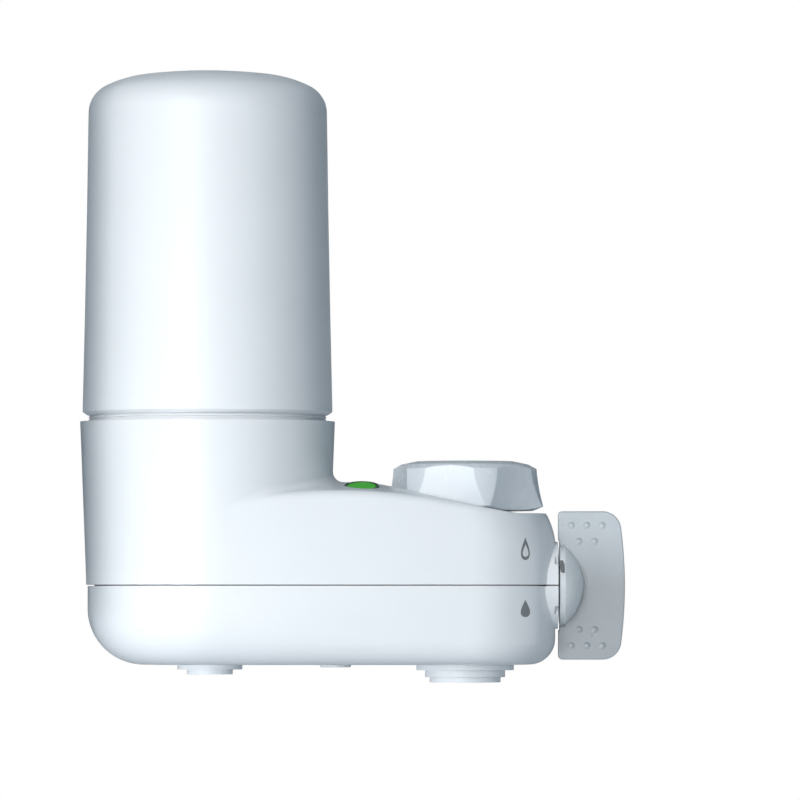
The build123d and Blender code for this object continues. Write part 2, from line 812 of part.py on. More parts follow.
# Selector wing: a flat clear grip set into the hub's slot, with raised dots on both faces
dot_sphere = (dimple_radius ** 2 + dimple_height ** 2) / (2 * dimple_height)
dot_places = []
for side in (1, -1):
    outer_z = seam_z + side * dimple_row_z
    inner_z = seam_z + side * dimple_inner_z
    dot_places += [(dimple_x + step * dimple_pitch, outer_z) for step in (0, 1, 2)]
    dot_places += [(dimple_x + (step + 0.5) * dimple_pitch, inner_z) for step in (0, 1)]
with BuildPart() as selector_wing:
    with BuildSketch(Plane.XZ.offset(-wing_thickness / 2)):
        with BuildLine():
            top_z = seam_z + wing_span / 2
            foot_z = seam_z - wing_span / 2
            corner_x = wing_tip_x - wing_tip_bulge
            Line((wing_inner_x, top_z), (corner_x, top_z))
            ThreePointArc((corner_x, top_z), (wing_tip_x, seam_z), (corner_x, foot_z))
            Line((corner_x, foot_z), (wing_inner_x, foot_z))
            Line((wing_inner_x, foot_z), (wing_inner_x, top_z))
        make_face()
        fillet(vertices().group_by(Axis.X)[-1], wing_outer_corner)
        fillet(vertices().group_by(Axis.X)[0], wing_inner_corner)
        for edge_x, half in [(dome_left_x, hub_radius + fit_gap), (hub_left_x, boss_radius + skin_gap)]:
            with Locations((edge_x - reach / 2, seam_z)):
                Rectangle(reach, 2 * half, mode=Mode.SUBTRACT)
    extrude(amount=wing_thickness)
    rim = [edge for face in faces().filter_by(Axis.Y) for edge in face.edges()]
    fillet(rim, wing_edge)
    for side in (1, -1):
        for x, z in dot_places:
            with Locations((x, side * (wing_thickness / 2 + dimple_height - dot_sphere), z)):
                Sphere(dot_sphere)
keep_part(selector_wing.part, "selector_wing")

# Filtered outlet, and the screen in its end
with BuildPart() as filtered_nozzle:
    lathe(
        [
            (filtered_x + filtered_bore, filtered_tip_z),
            (filtered_x + filtered_radius, filtered_tip_z),
            (filtered_x + filtered_radius, bottom_z - filtered_flange_height),
            (filtered_x + filtered_flange, bottom_z - filtered_flange_height),
            (filtered_x + filtered_flange, bottom_z),
            (filtered_x + filtered_neck, bottom_z),
            (filtered_x + filtered_neck, neck_top_z),
            (filtered_x + filtered_bore, neck_top_z),
        ],
        Axis((filtered_x, 0, 0), (0, 0, 1)),
    )
    upright(
        filtered_x, 0, filtered_screen_radius + fit_gap, filtered_tip_z, filtered_tip_z + spray_thickness,
        mode=Mode.SUBTRACT,
    )
keep_part(filtered_nozzle.part, "filtered_nozzle")

with BuildPart() as filtered_screen:
    upright(
        filtered_x, 0, filtered_screen_radius, filtered_tip_z + spray_thickness / 4,
        filtered_tip_z + spray_thickness,
    )
    with BuildSketch(Plane.XY.offset(filtered_tip_z)):
        with Locations((filtered_x, 0)):
            with HexLocations(screen_pitch / 2, outlet_rows, outlet_rows):
                Circle(spray_hole)
    extrude(amount=spray_thickness, mode=Mode.SUBTRACT)
keep_part(filtered_screen.part, "filtered_screen")

# Unfiltered outlet, and the spray plate in its end
spray_radius = stream_tip_radius - spray_margin
with BuildPart() as stream_nozzle:
    lathe(
        [
            (stream_bore, stream_tip_z),
            (stream_tip_radius, stream_tip_z),
            (stream_tip_radius, stream_collar_z),
            (stream_radius, stream_collar_z),
            (stream_radius, bottom_z - stream_flange_height),
            (stream_flange, bottom_z - stream_flange_height),
            (stream_flange, bottom_z),
            (stream_neck, bottom_z),
            (stream_neck, neck_top_z),
            (stream_bore, neck_top_z),
        ],
        nut_axis,
    )
    upright(0, 0, spray_radius + fit_gap, stream_tip_z, stream_tip_z + spray_thickness, mode=Mode.SUBTRACT)
keep_part(stream_nozzle.part, "stream_nozzle")

with BuildPart() as spray_plate:
    upright(0, 0, spray_radius, stream_tip_z + spray_thickness / 4, stream_tip_z + spray_thickness)
    with BuildSketch(Plane.XY.offset(stream_tip_z)):
        for ring_radius, holes in zip(spray_ring_radii, spray_ring_holes):
            with PolarLocations(ring_radius, holes):
                Circle(spray_hole)
    extrude(amount=spray_thickness, mode=Mode.SUBTRACT)
keep_part(spray_plate.part, "spray_plate")

# Outlet socket: takes the cartridge's middle stub above and the filtered outlet's neck below
with BuildPart() as outlet_socket:
    upright(cup_x, 0, outlet_radius, floor_z, outlet_top_z)
    upright(cup_x, 0, stub_radius + skin_gap, outlet_seat_z, outlet_top_z, mode=Mode.SUBTRACT)
    upright(cup_x, 0, filtered_bore, neck_top_z, outlet_seat_z, mode=Mode.SUBTRACT)
    upright(filtered_x, 0, filtered_neck + fit_gap, floor_z, neck_top_z + fit_gap, mode=Mode.SUBTRACT)
keep_part(outlet_socket.part, "outlet_socket")

# Port plate: the floor under the cartridge, with the inlet's socket and the spring's rib under it
inlet_x = cup_x + inlet_dx
rib_y = catch_front_y - spring_length - spring_rib
with BuildPart() as port_plate:
    upright(cup_x, 0, bore_radius(plate_bottom_z) - 2 * fit_gap, plate_bottom_z, plate_top_z)
    upright(inlet_x, inlet_y, feed_boss, feed_boss_z, plate_bottom_z)
    with BuildSketch(Plane.XY.offset(plate_bottom_z)):
        with Locations((cup_x, rib_y + spring_rib / 2)):
            Rectangle(spring_rib_width, spring_rib)
    extrude(amount=spring_rib_z - plate_bottom_z)
    upright(cup_x, 0, stub_radius + skin_gap, plate_bottom_z, plate_top_z, mode=Mode.SUBTRACT)
    upright(
        inlet_x, inlet_y, inlet_stub_radius + skin_gap, inlet_stub_tip_z - skin_gap, plate_top_z,
        mode=Mode.SUBTRACT,
    )
    upright(inlet_x, inlet_y, feed_radius + fit_gap, feed_boss_z, inlet_stub_tip_z, mode=Mode.SUBTRACT)
keep_part(port_plate.part, "port_plate")

# Feed tube: from the valve's end, round one bend and up into the port plate
with BuildPart() as feed_tube:
    with BuildLine(Plane.XZ.offset(-inlet_y)) as feed_path:
        bend_start = (inlet_x + feed_bend, seam_z)
        bend_end = (inlet_x, seam_z + feed_bend)
        Line((valve_left_x, seam_z), bend_start)
        RadiusArc(bend_start, bend_end, feed_bend)
        Line(bend_end, (inlet_x, feed_top_z))
    with BuildSketch(Plane.YZ.offset(valve_left_x)):
        with Locations((inlet_y, seam_z)):
            Circle(feed_radius)
            Circle(inlet_bore, mode=Mode.SUBTRACT)
    sweep(path=feed_path.wire())
keep_part(feed_tube.part, "feed_tube")

# Cartridge base: the open cup of the cartridge that goes into the body, with its inlet stub
base_bottom_radius = bore_radius(base_bottom_z) - base_gap
base_neck_radius = bore_radius(cup_rim_z) - base_gap
shell_lip_radius = cup_rim_radius - shell_lip_step
base_rim_radius = shell_lip_radius - shell_wall - base_rim_gap
stub_neck = stub_bore + stub_wall
with BuildPart() as cartridge_base:
    lathe(
        [
            (cup_x, base_bottom_z),
            (cup_x + base_bottom_radius, base_bottom_z),
            (cup_x + base_neck_radius, cup_rim_z),
            (cup_x + base_neck_radius, base_neck_z),
            (cup_x + base_rim_radius, base_neck_z),
            (cup_x + base_rim_radius, base_rim_z),
            (cup_x + base_rim_radius - base_wall, base_rim_z),
            (cup_x + base_bottom_radius - base_wall, base_bottom_z + base_floor),
            (cup_x, base_bottom_z + base_floor),
        ],
        cup_axis,
    )
    for line_z in neck_lines:
        lathe(
            tube_points(
                cup_x, base_neck_radius - neck_line_depth, base_neck_radius + fit_gap,
                line_z, line_z + neck_line_width,
            ),
            cup_axis,
            mode=Mode.SUBTRACT,
        )
    upright(cup_x, 0, socket_wall + cap_spigot, base_bottom_z, base_bottom_z + base_floor + socket_height)
    upright(cup_x, 0, cap_spigot + fit_gap, base_bottom_z + base_floor, block_bottom_z, mode=Mode.SUBTRACT)
    upright(cup_x, 0, stub_neck + fit_gap, base_bottom_z, base_bottom_z + base_floor, mode=Mode.SUBTRACT)
    upright(inlet_x, inlet_y, inlet_stub_radius, inlet_stub_tip_z, base_bottom_z)
    upright(
        inlet_x, inlet_y, inlet_bore, inlet_stub_tip_z, base_bottom_z + base_floor, mode=Mode.SUBTRACT
    )
keep_part(cartridge_base.part, "cartridge_base")

# Outlet stub: the turned tube in the base's floor, with grooves for its seal and the catch plate
catch_middle_z = catch_top_z - catch_thickness / 2
catch_groove_z = catch_middle_z - catch_thickness
stub_seal_z = (stub_tip_z + catch_groove_z) / 2
with BuildPart() as outlet_stub:
    upright(cup_x, 0, stub_radius, stub_tip_z, base_bottom_z)
    upright(cup_x, 0, stub_neck, base_bottom_z, base_bottom_z + base_floor)
    for groove_radius, low, high in [
        (stub_groove, catch_groove_z, catch_middle_z + catch_thickness),
        (stub_radius - 2 * seal_section, stub_seal_z - seal_groove, stub_seal_z + seal_groove),
    ]:
        lathe(
            tube_points(cup_x, groove_radius, stub_radius + fit_gap, low, high),
            cup_axis,
            mode=Mode.SUBTRACT,
        )
    upright(cup_x, 0, stub_bore, stub_tip_z, base_bottom_z + base_floor, mode=Mode.SUBTRACT)
keep_part(outlet_stub.part, "outlet_stub")

with BuildPart() as stub_seal:
    seal_ring(cup_x, stub_radius - seal_section, stub_seal_z, cup_axis)
keep_part(stub_seal.part, "stub_seal")


# The crown's radius follows from the top's width, its shoulder and its corner
shell_top_radius = shell_lip_radius - shell_top_taper
shoulder_reach = (dome_shoulder - dome_corner) * sin(radians(dome_shoulder_angle)) + dome_corner
dome_crown = dome_shoulder + (shell_top_radius - shoulder_reach) / sin(radians(dome_crown_angle))


def dome_outline(inset):
    """The cartridge's rounded top: a flat crown, a shoulder and a tight corner, all tangent."""
    crown = JernArc((cup_x, dome_top_z - inset), (1, 0), dome_crown - inset, -dome_crown_angle)
    shoulder = JernArc(
        crown @ 1, crown % 1, dome_shoulder - inset, dome_crown_angle - dome_shoulder_angle
    )
    corner = JernArc(shoulder @ 1, shoulder % 1, dome_corner - inset, dome_shoulder_angle - 90)
    return corner @ 1


# Cartridge shell: a tall, slightly tapered bell
with BuildPart() as cartridge_shell:
    with BuildSketch(Plane.XZ):
        with BuildLine():
            shoulder_end = dome_outline(0)
            inner_end = dome_outline(shell_wall)
            lip = (cup_x + shell_lip_radius, shell_lip_z)
            inner_lip = (cup_x + shell_lip_radius - shell_wall, shell_lip_z)
            shell_mid_x = cup_x + shell_lip_radius - shell_mid_taper
            ThreePointArc(shoulder_end, (shell_mid_x, shell_mid_z), lip)
            ThreePointArc(inner_end, (shell_mid_x - shell_wall, shell_mid_z), inner_lip)
            Polyline(
                lip,
                (cup_x + shell_lip_radius - shell_bevel, base_neck_z),
                (inner_lip[0], base_neck_z),
                inner_lip,
            )
            Line((cup_x, dome_top_z), (cup_x, dome_top_z - shell_wall))
        make_face()
    revolve(axis=cup_axis)
keep_part(cartridge_shell.part, "cartridge_shell")

# Carbon block, its wrap and the two caps glued to its ends
block_radius = base_bottom_radius - base_wall - block_room
wrap_radius = block_radius + fit_gap + wrap_thickness
cap_radius = wrap_radius + fit_gap + cap_lip_wall
with BuildPart() as carbon_block:
    lathe(tube_points(cup_x, block_bore, block_radius, block_bottom_z, block_top_z), cup_axis)
keep_part(carbon_block.part, "carbon_block")

with BuildPart() as prefilter_wrap:
    lathe(
        tube_points(cup_x, block_radius + fit_gap, wrap_radius, block_bottom_z, block_top_z), cup_axis
    )
keep_part(prefilter_wrap.part, "prefilter_wrap")

with BuildPart() as top_cap:
    upright(cup_x, 0, cap_radius, block_top_z - block_cap_lip, block_top_z + block_cap)
    upright(
        cup_x, 0, wrap_radius + fit_gap, block_top_z - block_cap_lip, block_top_z, mode=Mode.SUBTRACT
    )
keep_part(top_cap.part, "top_cap")

with BuildPart() as bottom_cap:
    upright(cup_x, 0, cap_radius, block_bottom_z - block_cap, block_bottom_z + block_cap_lip)
    upright(
        cup_x, 0, wrap_radius + fit_gap, block_bottom_z, block_bottom_z + block_cap_lip, mode=Mode.SUBTRACT
    )
    upright(cup_x, 0, cap_spigot, base_bottom_z + base_floor + fit_gap, block_bottom_z - block_cap)
    upright(cup_x, 0, stub_bore, base_bottom_z, block_bottom_z, mode=Mode.SUBTRACT)
keep_part(bottom_cap.part, "bottom_cap")

# Release button: its face curves with the cup, and a wider flange keeps it inside
button_mid_z = button_top_z - button_height / 2
button_wall_radius = cup_radius(button_mid_z)
button_back_y = button_wall_radius - button_depth
with BuildPart() as release_button:
    for radius, width, rise in [
        (button_wall_radius + button_proud, button_width, 0),
        (button_wall_radius - wall - window_gap, button_width + 2 * button_flange, button_flange_rise),
    ]:
        with BuildSketch(Plane.XY.offset(button_top_z - button_height + rise)) as plan:
            with Locations((cup_x, 0)):
                Circle(radius)
            with Locations((cup_x, button_back_y + reach / 2)):
                Rectangle(width, reach, mode=Mode.INTERSECT)
        extrude(plan.sketch, amount=button_height - rise)
    fillet(faces().sort_by(Axis.Y)[-1].edges(), button_edge)
keep_part(release_button.part, "release_button")

# Catch plate: its long hole lets go of the cartridge's stub when the button is pressed
stub_room = 2 * (stub_radius + catch_gap)
with BuildPart() as catch_plate:
    with BuildSketch(Plane.XY.offset(catch_top_z - catch_thickness)):
        with Locations((cup_x, (catch_front_y + button_back_y) / 2)):
            RectangleRounded(catch_width, button_back_y - catch_front_y, catch_corner)
        with Locations((cup_x, button_travel / 2)):
            Rectangle(stub_room, stub_room + button_travel, mode=Mode.SUBTRACT)
    extrude(amount=catch_thickness)
keep_part(catch_plate.part, "catch_plate")

# Release spring, between the port plate's rib and the catch plate
spring_start_y = rib_y + spring_rib + spring_wire
spring_run = spring_length - 2 * spring_wire
spring_start = Vector(cup_x, spring_start_y, catch_middle_z)
with BuildPart() as release_spring:
    with BuildLine() as coil:
        Helix(
            spring_run / spring_turns, spring_run, spring_radius, center=spring_start, direction=(0, 1, 0)
        )
    with BuildSketch(Plane(origin=coil.line @ 0, z_dir=coil.line % 0)):
        Circle(spring_wire)
    sweep(path=coil.wire())
keep_part(release_spring.part, "release_spring")

# Indicator: rim, lens, lamp, board and cell, all square to the leaning face
with BuildPart() as indicator_bezel:
    tilted_bar(bezel_radius, 0, bezel_height)
    tilted_bar(lens_radius + fit_gap, 0, lens_thickness, mode=Mode.SUBTRACT)
    tilted_bar(lens_radius - lens_seat, 0, bezel_height, mode=Mode.SUBTRACT)
keep_part(indicator_bezel.part, "indicator_bezel")

with BuildPart() as indicator_lens:
    tilted_bar(lens_radius, 0, lens_thickness)
    fillet(faces().sort_by(Axis.Z)[-1].edges(), lens_edge)
keep_part(indicator_lens.part, "indicator_lens")

with BuildPart() as indicator_lamp:
    tilted_bar(lamp_radius, bezel_height - lamp_height, bezel_height)
    fillet(faces().sort_by(Axis.Z)[-1].edges(), lamp_radius / 2)
keep_part(indicator_lamp.part, "indicator_lamp")

with BuildPart() as indicator_board:
    with BuildSketch(tilted_lens_plane(bezel_height)):
        RectangleRounded(board_length, board_width, board_thickness)
    extrude(amount=-board_thickness)
keep_part(indicator_board.part, "indicator_board")

with BuildPart() as indicator_cell:
    cell_depth = bezel_height + board_thickness
    tilted_bar(cell_radius, cell_depth, cell_depth + cell_thickness)
keep_part(indicator_cell.part, "indicator_cell")
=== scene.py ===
import bpy
import json
import math
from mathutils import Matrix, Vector
from mathutils.bvhtree import BVHTree

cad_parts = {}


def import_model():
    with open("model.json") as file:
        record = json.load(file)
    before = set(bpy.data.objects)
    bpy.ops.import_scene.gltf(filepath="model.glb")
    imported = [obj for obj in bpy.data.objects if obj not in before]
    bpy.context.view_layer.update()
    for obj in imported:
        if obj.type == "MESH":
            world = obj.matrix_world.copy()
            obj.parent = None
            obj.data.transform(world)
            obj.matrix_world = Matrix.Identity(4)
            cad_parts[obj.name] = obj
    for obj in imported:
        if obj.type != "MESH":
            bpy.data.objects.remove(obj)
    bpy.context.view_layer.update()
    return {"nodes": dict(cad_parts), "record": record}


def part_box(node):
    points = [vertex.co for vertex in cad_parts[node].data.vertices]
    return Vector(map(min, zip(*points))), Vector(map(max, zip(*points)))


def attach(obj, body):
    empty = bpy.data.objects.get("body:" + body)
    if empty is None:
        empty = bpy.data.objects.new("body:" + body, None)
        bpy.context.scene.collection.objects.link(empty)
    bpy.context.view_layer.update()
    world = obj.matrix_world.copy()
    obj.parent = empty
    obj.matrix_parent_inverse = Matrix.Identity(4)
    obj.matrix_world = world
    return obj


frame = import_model()
nodes = frame["nodes"]

# The photograph's scale and the place of the collar's mouth in it, in pixels
pixel = 0.0002875
centre_px = 465.0
mouth_py = 461.5
seam_z = -0.0356


def place(px, py):
    """Frame x and z of a point of the photograph."""
    return (px - centre_px) * pixel, (mouth_py - py) * pixel


# The photograph's horizon is low, at about row 600, so the camera looks up a little
camera_distance = 2.0
horizon_py = 600.0
aim_x, aim_z = place(400.0, 400.0)
level_z = place(400.0, horizon_py)[1]
eye = Vector((aim_x, -camera_distance, level_z))


# Materials


def material(name):
    mat = bpy.data.materials.new(name)
    mat.use_nodes = True
    return mat


def link(mat, a, out, b, inp):
    mat.node_tree.links.new(a.outputs[out], b.inputs[inp])


def add_node(mat, kind, **values):
    made = mat.node_tree.nodes.new(kind)
    for key, value in values.items():
        if hasattr(made, key) and key not in [s.name for s in made.inputs]:
            setattr(made, key, value)
        else:
            made.inputs[key].default_value = value
    return made


def shader(mat):
    return mat.node_tree.nodes["Principled BSDF"]


def noise(mat, scale, detail=3.0, roughness=0.55, stretch=None):
    """Noise in the part's own coordinates, in cycles per metre."""
    coords = mat.node_tree.nodes.new("ShaderNodeTexCoord")
    tex = mat.node_tree.nodes.new("ShaderNodeTexNoise")
    tex.inputs["Scale"].default_value = scale
    tex.inputs["Detail"].default_value = detail
    tex.inputs["Roughness"].default_value = roughness
    if stretch:
        mapping = mat.node_tree.nodes.new("ShaderNodeMapping")
        mapping.inputs["Scale"].default_value = stretch
        link(mat, coords, "Object", mapping, "Vector")
        link(mat, mapping, "Vector", tex, "Vector")
    else:
        link(mat, coords, "Object", tex, "Vector")
    return tex


def ramp(mat, source, out, stops):
    """Colour ramp over a value; stops are (position, colour or grey)."""
    node = mat.node_tree.nodes.new("ShaderNodeValToRGB")
    while len(node.color_ramp.elements) < len(stops):
        node.color_ramp.elements.new(0.5)
    for element, (position, colour) in zip(node.color_ramp.elements, stops):
        element.position = position
        grey = isinstance(colour, float)
        element.color = (colour, colour, colour, 1.0) if grey else (*colour, 1.0)
    link(mat, source, out, node, "Fac")
    return node


def shade(colour, factor):
    return tuple(min(1.0, c * factor) for c in colour)


def bump_from(mat, source, out, strength, distance, under=None):
    node = mat.node_tree.nodes.new("ShaderNodeBump")
    node.inputs["Strength"].default_value = strength
    node.inputs["Distance"].default_value = distance
    link(mat, source, out, node, "Height")
    if under is not None:
        link(mat, under[0], under[1], node, "Normal")
    return node


def map_range(mat, source, out, span, target):
    """A value carried over from one span, given as its low and high end, to another."""
    node = mat.node_tree.nodes.new("ShaderNodeMapRange")
    for ends, name in ((span, "From"), (target, "To")):
        node.inputs[name + " Min"].default_value = ends[0]
        node.inputs[name + " Max"].default_value = ends[1]
    link(mat, source, out, node, "Value")
    return node


def moulded(name, colour, rough, spread=0.05, grain=2600.0, grain_depth=0.00001, edge=0.00025,
            tone=0.02, specular=0.5, wave=0.00008):
    """Injection-moulded plastic: faint flow clouds in its tone, uneven gloss and a fine skin."""
    mat = material(name)
    bsdf = shader(mat)
    clouds = noise(mat, 38.0, 4.0, 0.5)
    tint = ramp(mat, clouds, "Fac", [(0.25, shade(colour, 1 - tone)), (0.75, shade(colour, 1 + tone / 2))])
    link(mat, tint, "Color", bsdf, "Base Color")
    wear = noise(mat, 210.0, 6.0, 0.65)
    gloss = ramp(mat, wear, "Fac", [(0.3, max(0.02, rough - spread)), (0.7, rough + spread)])
    link(mat, gloss, "Color", bsdf, "Roughness")
    skin = noise(mat, grain, 2.0, 0.5)
    rounded = add_node(mat, "ShaderNodeBevel", samples=8, Radius=edge)
    flow = bump_from(mat, clouds, "Fac", 0.12, wave, (rounded, "Normal"))
    fine = bump_from(mat, skin, "Fac", 0.35, grain_depth, (flow, "Normal"))
    link(mat, fine, "Normal", bsdf, "Normal")
    bsdf.inputs["IOR"].default_value = 1.5
    bsdf.inputs["Specular IOR Level"].default_value = specular
    return mat


def milky(mat, weight, depth):
    """Lets light spread under the skin, as thin pale plastic does."""
    bsdf = shader(mat)
    bsdf.inputs["Subsurface Weight"].default_value = weight
    bsdf.inputs["Subsurface Radius"].default_value = (1.0, 1.0, 1.0)
    bsdf.inputs["Subsurface Scale"].default_value = depth


def painted_shade_below(mat, top, bottom, least):
    """Painted shade: darkens the base colour from one height down to another, where less of the light from
    above reaches.
    """
    bsdf = shader(mat)
    tint = bsdf.inputs["Base Color"].links[0].from_socket
    coords = mat.node_tree.nodes.new("ShaderNodeTexCoord")
    parts = mat.node_tree.nodes.new("ShaderNodeSeparateXYZ")
    link(mat, coords, "Object", parts, "Vector")
    fall = map_range(mat, parts, "Z", (bottom, top), (least, 1.0))
    painted_shade_scale = add_node(mat, "ShaderNodeVectorMath", operation="SCALE")
    link(mat, fall, "Result", painted_shade_scale, "Scale")
    mat.node_tree.links.new(tint, painted_shade_scale.inputs[0])
    link(mat, painted_shade_scale, "Vector", bsdf, "Base Color")


gloss_white = (0.88, 0.895, 0.91)
satin_white = (0.885, 0.9, 0.915)

white_gloss = moulded("white_gloss_plastic", gloss_white, 0.22, 0.04, specular=0.35)
white_satin = moulded(
    "white_satin_plastic", satin_white, 0.38, 0.05, grain=3400.0, grain_depth=0.000015, specular=0.3
)
grey_white = moulded("grey_white_plastic", (0.75, 0.79, 0.825), 0.26, 0.03, edge=0.0005, wave=0.00003)
milky(grey_white, 0.4, 0.003)

# The hub's white is thin and milky
hub_white = moulded("hub_gloss_plastic", (0.83, 0.86, 0.87), 0.25, 0.04, specular=0.4, edge=0.0003)
milky(hub_white, 0.5, 0.004)

acetal = moulded("natural_acetal", (0.8, 0.79, 0.75), 0.42, 0.06, tone=0.05)
dark_green = moulded("dark_green_plastic", (0.02, 0.085, 0.03), 0.35, 0.06, tone=0.15)
nickel = moulded("nickel_cell", (0.62, 0.6, 0.57), 0.3, 0.1)
shader(nickel).inputs["Metallic"].default_value = 1.0

# Half clear grey of the wing, with painted shade that darkens it in front of the hub and below it
clear_grey = moulded(
    "clear_grey_plastic", (0.62, 0.66, 0.69), 0.3, 0.03, tone=0.03, edge=0.00005, wave=0.00001
)
shader(clear_grey).inputs["Transmission Weight"].default_value = 0.28
shader(clear_grey).inputs["IOR"].default_value = 1.55
wing_shade_top_z, wing_shade_bottom_z, wing_shade_least = -0.019, -0.036, 0.68
painted_shade_below(clear_grey, wing_shade_top_z, wing_shade_bottom_z, wing_shade_least)

# Painted glow: the lens gives off a little light of its own, standing in for its lamp behind it
green_lens = moulded("green_lens_plastic", (0.085, 0.56, 0.055), 0.2, 0.03, tone=0.12)
shader(green_lens).inputs["Transmission Weight"].default_value = 0.08
shader(green_lens).inputs["Emission Color"].default_value = (0.1, 0.6, 0.05, 1.0)
shader(green_lens).inputs["Emission Strength"].default_value = 0.12

clear_led = moulded("clear_led_plastic", (0.78, 0.86, 0.78), 0.08, 0.02)
shader(clear_led).inputs["Transmission Weight"].default_value = 0.8

silicone = moulded("silicone_tube", (0.72, 0.73, 0.72), 0.45, 0.08, tone=0.04)
shader(silicone).inputs["Transmission Weight"].default_value = 0.3


def rubber():
    mat = material("black_rubber")
    bsdf = shader(mat)
    dust = noise(mat, 900.0, 6.0, 0.7)
    tint = ramp(mat, dust, "Fac", [(0.35, (0.018, 0.018, 0.019)), (0.8, (0.05, 0.05, 0.052))])
    link(mat, tint, "Color", bsdf, "Base Color")
    link(mat, ramp(mat, dust, "Fac", [(0.3, 0.5), (0.8, 0.8)]), "Color", bsdf, "Roughness")
    link(mat, bump_from(mat, dust, "Fac", 0.4, 0.00003), "Normal", bsdf, "Normal")
    return mat


def steel(name, colour, rough, stretch):
    """Bright steel with fine drawing lines along one way."""
    mat = material(name)
    bsdf = shader(mat)
    lines = noise(mat, 1800.0, 4.0, 0.6, stretch)
    tint = ramp(mat, lines, "Fac", [(0.3, shade(colour, 0.86)), (0.7, shade(colour, 1.06))])
    link(mat, tint, "Color", bsdf, "Base Color")
    link(mat, ramp(mat, lines, "Fac", [(0.3, rough * 0.7), (0.7, rough * 1.3)]), "Color", bsdf, "Roughness")
    link(mat, bump_from(mat, lines, "Fac", 0.2, 0.00001), "Normal", bsdf, "Normal")
    bsdf.inputs["Metallic"].default_value = 1.0
    return mat


def carbon():
    """Pressed carbon grains: matt black with glinting specks and an open, pitted skin."""
    mat = material("carbon_block")
    bsdf = shader(mat)
    coords = mat.node_tree.nodes.new("ShaderNodeTexCoord")
    cells = mat.node_tree.nodes.new("ShaderNodeTexVoronoi")
    cells.inputs["Scale"].default_value = 1700.0
    link(mat, coords, "Object", cells, "Vector")
    tint = ramp(mat, cells, "Distance", [(0.0, (0.055, 0.055, 0.057)), (0.6, (0.012, 0.012, 0.013))])
    link(mat, tint, "Color", bsdf, "Base Color")
    link(mat, ramp(mat, cells, "Distance", [(0.0, 0.35), (0.5, 0.9)]), "Color", bsdf, "Roughness")
    link(mat, bump_from(mat, cells, "Distance", 0.8, 0.0002), "Normal", bsdf, "Normal")
    return mat


def fleece():
    """Spun fleece: crossing fibres in two scales, soft and matt."""
    mat = material("white_fleece")
    bsdf = shader(mat)
    fibres = noise(mat, 900.0, 8.0, 0.75, (1.0, 1.0, 0.25))
    tint = ramp(mat, fibres, "Fac", [(0.3, (0.66, 0.66, 0.64)), (0.7, (0.86, 0.86, 0.84))])
    link(mat, tint, "Color", bsdf, "Base Color")
    bsdf.inputs["Roughness"].default_value = 0.95
    bsdf.inputs["Sheen Weight"].default_value = 0.3
    link(mat, bump_from(mat, fibres, "Fac", 0.8, 0.00025), "Normal", bsdf, "Normal")
    return mat


def board():
    """Green circuit board with a faint weave and tracks under its varnish."""
    mat = material("circuit_board")
    bsdf = shader(mat)
    coords = mat.node_tree.nodes.new("ShaderNodeTexCoord")
    tracks = mat.node_tree.nodes.new("ShaderNodeTexBrick")
    tracks.inputs["Scale"].default_value = 260.0
    tracks.inputs["Color1"].default_value = (0.012, 0.13, 0.05, 1)
    tracks.inputs["Color2"].default_value = (0.014, 0.16, 0.06, 1)
    tracks.inputs["Mortar"].default_value = (0.05, 0.26, 0.1, 1)
    tracks.inputs["Mortar Size"].default_value = 0.06
    link(mat, coords, "Object", tracks, "Vector")
    link(mat, tracks, "Color", bsdf, "Base Color")
    bsdf.inputs["Roughness"].default_value = 0.35
    link(mat, bump_from(mat, tracks, "Fac", 0.3, 0.00002), "Normal", bsdf, "Normal")
    return mat


def ink(name, tone):
    """Printed grey ink: an even film with pinholes and softly uneven tone."""
    mat = material(name)
    bsdf = shader(mat)
    film = noise(mat, 4200.0, 4.0, 0.6)
    tint = ramp(mat, film, "Fac", [(0.3, shade(tone, 0.85)), (0.72, shade(tone, 1.15))])
    link(mat, tint, "Color", bsdf, "Base Color")
    link(mat, ramp(mat, film, "Fac", [(0.3, 0.3), (0.7, 0.45)]), "Color", bsdf, "Roughness")
    return mat


materials = {
    "white_gloss_plastic": white_gloss,
    "white_satin_plastic": white_satin,
    "grey_white_plastic": grey_white,
    "clear_grey_plastic": clear_grey,
    "green_lens_plastic": green_lens,
    "dark_green_plastic": dark_green,
    "clear_led_plastic": clear_led,
    "circuit_board": board(),
    "nickel_cell": nickel,
    "natural_acetal": acetal,
    "black_rubber": rubber(),
    "stainless_steel": steel("stainless_steel", (0.6, 0.6, 0.59), 0.3, (1.0, 1.0, 0.06)),
    "spring_steel": steel("spring_steel", (0.56, 0.56, 0.56), 0.2, (0.1, 1.0, 1.0)),
    "carbon_block": carbon(),
    "white_fleece": fleece(),
    "silicone_tube": silicone,
}

for entry in frame["record"]["subparts"]:
    node = nodes[entry["node"]]
    node.data.materials.clear()
    node.data.materials.append(materials[entry["material_slot"]])
nodes["selector_hub"].data.materials[0] = hub_white

# Printed signs and the collar's thread


def new_piece(name, verts, faces, mat, body, smooth=True):
    mesh = bpy.data.meshes.new(name)
    mesh.from_pydata(verts, [], faces)
    mesh.update()
    for face in mesh.polygons:
        face.use_smooth = smooth
    made = bpy.data.objects.new(name, mesh)
    bpy.context.scene.collection.objects.link(made)
    mesh.materials.append(mat)
    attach(made, body)
    return made


def surface_of(*names):
    """One search tree over the faces of these CAD nodes."""
    verts, faces = [], []
    for name in names:
        mesh = nodes[name].data
        base = len(verts)
        verts += [v.co.copy() for v in mesh.vertices]
        faces += [[base + i for i in face.vertices] for face in mesh.polygons]
    return BVHTree.FromPolygons(verts, faces)


def lay_on(tree, x, z, lift):
    """The point that the camera sees over this x and z of the middle plane, lifted off a little."""
    way = (Vector((x, 0.0, z)) - eye).normalized()
    hit, normal = tree.ray_cast(eye, way)[:2]
    if normal.y > 0:
        normal = -normal
    return hit + normal * lift


drop_widest = 0.702   # half width of the drop's curve before it is scaled


